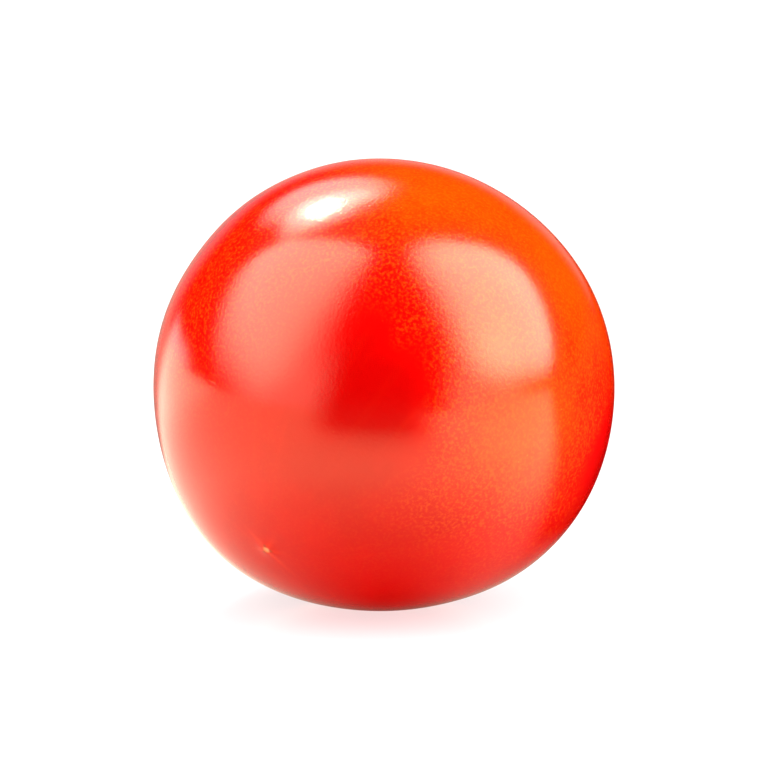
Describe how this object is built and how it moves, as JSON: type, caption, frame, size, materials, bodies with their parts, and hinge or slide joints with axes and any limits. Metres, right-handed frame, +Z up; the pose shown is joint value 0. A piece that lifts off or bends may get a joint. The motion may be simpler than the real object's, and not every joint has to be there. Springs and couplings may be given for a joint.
{
  "type": "tomato",
  "caption": "Small round ripe red tomato, picked without its stalk, glossy skin, lying on a small flat spot.",
  "frame": {"origin": "on the surface that the fruit lies on, under the middle of its box", "axes": "+Z up; -Y towards the viewer; the stalk end points up, back and to the right (+X +Y +Z), the blossom end down, forward and to the left"},
  "size_m": [0.0354, 0.0354, 0.0345],
  "materials": {
    "skin": "gloss"
  },
  "bodies": {
    "root": {"tomato": "skin"}
  },
  "joints": []
}
